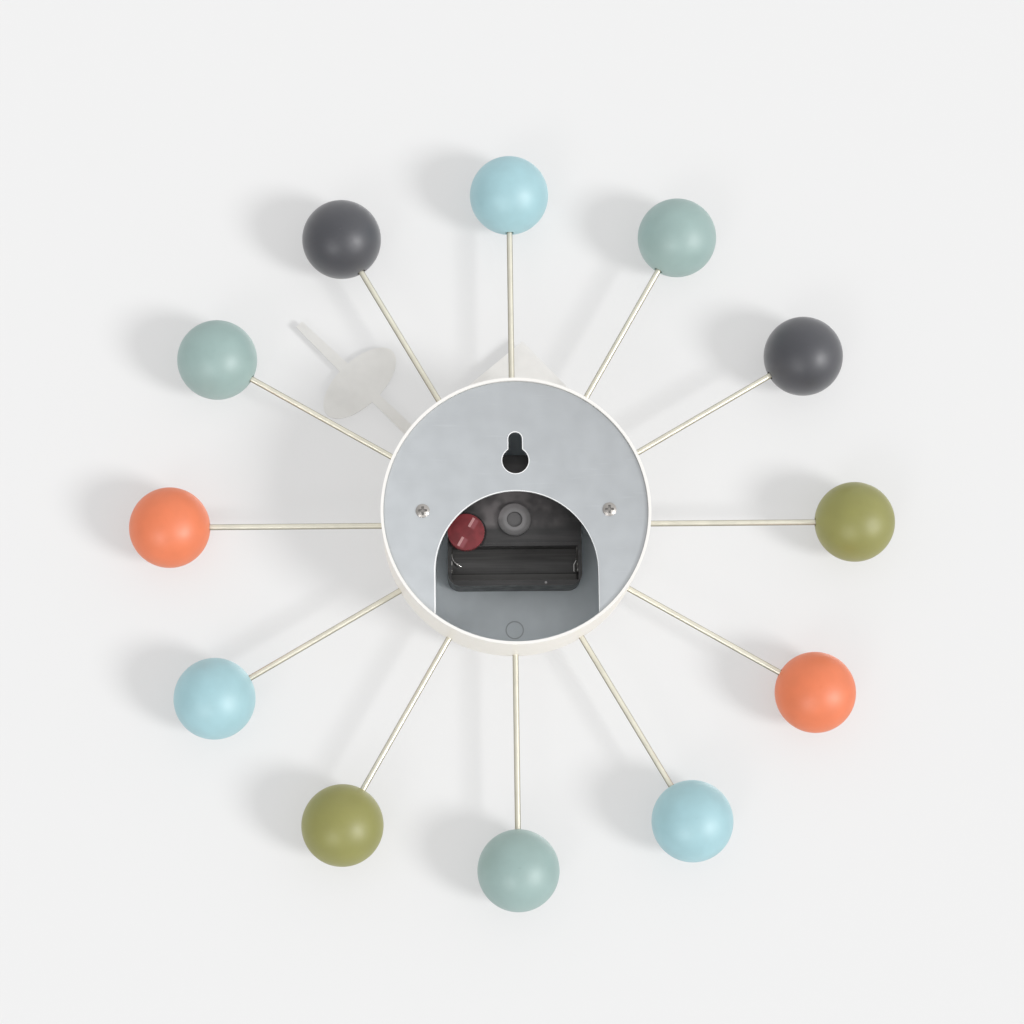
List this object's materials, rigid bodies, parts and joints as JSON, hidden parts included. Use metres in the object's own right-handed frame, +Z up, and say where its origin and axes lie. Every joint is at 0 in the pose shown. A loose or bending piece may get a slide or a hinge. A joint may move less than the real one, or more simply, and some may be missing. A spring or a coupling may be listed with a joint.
{
  "type": "ball wall clock",
  "caption": "Round metal wall clock whose hours are painted balls on thin rods, with flat ellipse and triangle hands, a battery movement and a keyhole back plate.",
  "frame": {"origin": "centre of the keyhole's entry hole, on the outer face of the back plate", "axes": "+Z up to 12 o'clock as the clock hangs, +Y out of the back to the wall, the face towards -Y, +X to the right seen from the front"},
  "size_m": [0.33, 0.0533, 0.33],
  "materials": {
    "case_paint": "satin off-white lacquer",
    "plate_zinc": "satin zinc-plated sheet",
    "screw_steel": "bright steel",
    "rod_champagne": "pale champagne plating, satin",
    "ball_light_blue": "satin light blue lacquer on a turned ball",
    "ball_sage": "satin sage lacquer on a turned ball",
    "ball_dark_grey": "satin dark grey lacquer on a turned ball",
    "ball_olive": "satin olive lacquer on a turned ball",
    "ball_orange": "satin orange lacquer on a turned ball",
    "movement_black": "fine-grained black moulding",
    "gasket_rubber": "matt",
    "brass": "machined",
    "board_green": "solder mask",
    "wheel_white": "moulded",
    "winding_copper": "enamelled wire",
    "knob_red": "dark red moulding",
    "contact_spring": "bright spring strip",
    "hand_white": "white lacquered sheet",
    "hand_grey": "pale grey lacquered sheet"
  },
  "bodies": {
    "root": {"case": "case_paint", "back_plate": "plate_zinc", "cover_screws": "screw_steel", "cover_posts": "screw_steel", "rod_nuts": "screw_steel", "rod_1": "rod_champagne", "rod_2": "rod_champagne", "rod_3": "rod_champagne", "rod_4": "rod_champagne", "rod_5": "rod_champagne", "rod_6": "rod_champagne", "rod_7": "rod_champagne", "rod_8": "rod_champagne", "rod_9": "rod_champagne", "rod_10": "rod_champagne", "rod_11": "rod_champagne", "rod_12": "rod_champagne", "ball_1": "ball_dark_grey", "ball_2": "ball_sage", "ball_3": "ball_orange", "ball_4": "ball_light_blue", "ball_5": "ball_olive", "ball_6": "ball_sage", "ball_7": "ball_light_blue", "ball_8": "ball_orange", "ball_9": "ball_olive", "ball_10": "ball_dark_grey", "ball_11": "ball_sage", "ball_12": "ball_light_blue", "movement_shell": "movement_black", "movement_cover": "movement_black", "movement_gasket": "gasket_rubber", "bushing_washer": "brass", "bushing_nut": "brass", "circuit_board": "board_green", "quartz_crystal": "screw_steel", "coil_bobbin": "wheel_white", "coil_winding": "winding_copper", "coil_core": "screw_steel", "stator": "screw_steel", "contact_positive": "contact_spring", "contact_negative": "contact_spring"},
    "minute": {"centre_wheel": "brass", "minute_hand": "hand_grey", "hand_nut": "hand_grey"},
    "hour": {"hour_wheel": "wheel_white", "hour_hand": "hand_white"},
    "motion": {"motion_wheel": "wheel_white"},
    "knob": {"set_knob": "knob_red"},
    "third": {"third_wheel": "wheel_white"},
    "seconds": {"seconds_wheel": "wheel_white"},
    "fifth": {"fifth_wheel": "wheel_white"},
    "magnet": {"rotor": "screw_steel"}
  },
  "joints": [
    {"name": "minute_hand_turn", "type": "hinge", "parent": "root", "child": "minute", "pos_m": [0, -0.0487, -0.0212], "axis": [0, 1, 0], "continuous": true},
    {"name": "hour_hand_turn", "type": "hinge", "parent": "root", "child": "hour", "pos_m": [0, -0.0465, -0.0212], "axis": [0, 1, 0], "continuous": true},
    {"name": "motion_wheel_turn", "type": "hinge", "parent": "root", "child": "motion", "pos_m": [0.0108, -0.0363, -0.0212], "axis": [0, 1, 0], "continuous": true},
    {"name": "set_knob_turn", "type": "hinge", "parent": "root", "child": "knob", "pos_m": [0.02072, -0.0212, -0.0267], "axis": [0, 1, 0], "continuous": true},
    {"name": "third_wheel_turn", "type": "hinge", "parent": "root", "child": "third", "pos_m": [-0.00476, -0.0337, -0.01295], "axis": [0, 1, 0], "continuous": true},
    {"name": "seconds_wheel_turn", "type": "hinge", "parent": "root", "child": "seconds", "pos_m": [0, -0.0324, -0.0212], "axis": [0, 1, 0], "continuous": true},
    {"name": "fifth_wheel_turn", "type": "hinge", "parent": "root", "child": "fifth", "pos_m": [0.00741, -0.0311, -0.01692], "axis": [0, 1, 0], "continuous": true},
    {"name": "rotor_turn", "type": "hinge", "parent": "root", "child": "magnet", "pos_m": [0.00872, -0.0286, -0.00948], "axis": [0, 1, 0], "continuous": true}
  ],
  "couplings": [
    {"joint": "hour_hand_turn", "follows": "minute_hand_turn", "ratio": 0.083333},
    {"joint": "motion_wheel_turn", "follows": "minute_hand_turn", "ratio": -0.33333},
    {"joint": "set_knob_turn", "follows": "minute_hand_turn", "ratio": 0.83333},
    {"joint": "third_wheel_turn", "follows": "minute_hand_turn", "ratio": -7.5},
    {"joint": "seconds_wheel_turn", "follows": "minute_hand_turn", "ratio": 60},
    {"joint": "fifth_wheel_turn", "follows": "minute_hand_turn", "ratio": -225},
    {"joint": "rotor_turn", "follows": "minute_hand_turn", "ratio": 1800}
  ]
}
